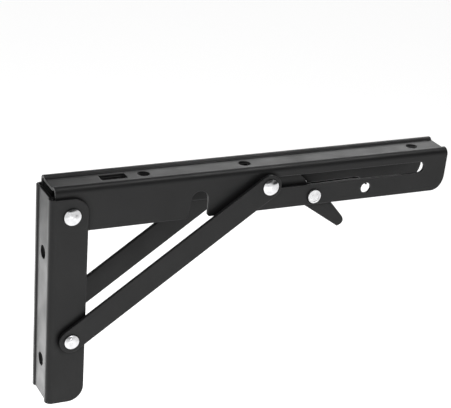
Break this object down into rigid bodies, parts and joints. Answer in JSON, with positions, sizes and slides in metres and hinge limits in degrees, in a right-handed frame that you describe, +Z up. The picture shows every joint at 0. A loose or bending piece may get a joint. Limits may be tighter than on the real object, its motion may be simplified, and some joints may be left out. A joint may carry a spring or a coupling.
{
  "type": "folding shelf bracket",
  "caption": "Wall bracket for a hinged shelf: nested sheet channels, side struts on a sliding rod, and a sprung release lever.",
  "frame": {"origin": "on the wall face, midway between the two wall screw holes", "axes": "+X out from the wall along the open shelf channel, +Z up, Y across the bracket"},
  "size_m": [0.304, 0.0476, 0.1593],
  "materials": {
    "black_coat": "satin powder coat",
    "zinc_plate": "bright plated",
    "spring_wire": "plated wire"
  },
  "bodies": {
    "wall": {"wall_channel": "black_coat", "hinge_rivet_near": "zinc_plate", "hinge_rivet_far": "zinc_plate", "foot_rivet_near": "zinc_plate", "foot_rivet_far": "zinc_plate", "foot_washer_near": "zinc_plate", "foot_washer_far": "zinc_plate"},
    "arm": {"shelf_channel": "black_coat", "lever_pin": "zinc_plate", "lever_spacer_near": "zinc_plate", "lever_spacer_far": "zinc_plate", "lever_spring": "spring_wire"},
    "struts": {"strut_near": "black_coat", "strut_far": "black_coat", "rod_head_near": "zinc_plate", "rod_head_far": "zinc_plate"},
    "rod": {"slide_rod": "zinc_plate", "rod_washer_near": "zinc_plate", "rod_washer_far": "zinc_plate"},
    "lever": {"release_lever": "black_coat"}
  },
  "joints": [
    {"name": "arm_fold", "type": "hinge", "parent": "wall", "child": "arm", "pos_m": [0.0152, 0, 0.07185], "axis": [0, 1, 0], "range_deg": [0, 90]},
    {"name": "strut_swing", "type": "hinge", "parent": "wall", "child": "struts", "pos_m": [0.0157, 0, -0.01895], "axis": [0, 1, 0], "range_deg": [0, 122.4]},
    {"name": "rod_slide", "type": "slide", "parent": "arm", "child": "rod", "axis": [1, 0, 0], "range_m": [0, 0.12083]},
    {"name": "lever_release", "type": "hinge", "parent": "arm", "child": "lever", "pos_m": [0.19544, 0, 0.06615], "axis": [0, -1, 0], "range_deg": [0, 26], "stiffness_Nm_per_rad": 0.08, "springref_deg": -28.65, "deforming": ["lever_spring"]}
  ],
  "couplings": [
    {"joint": "strut_swing", "follows": "arm_fold", "ratio": 1.3598},
    {"joint": "rod_slide", "follows": "arm_fold", "m_per_rad": 0.076916}
  ]
}
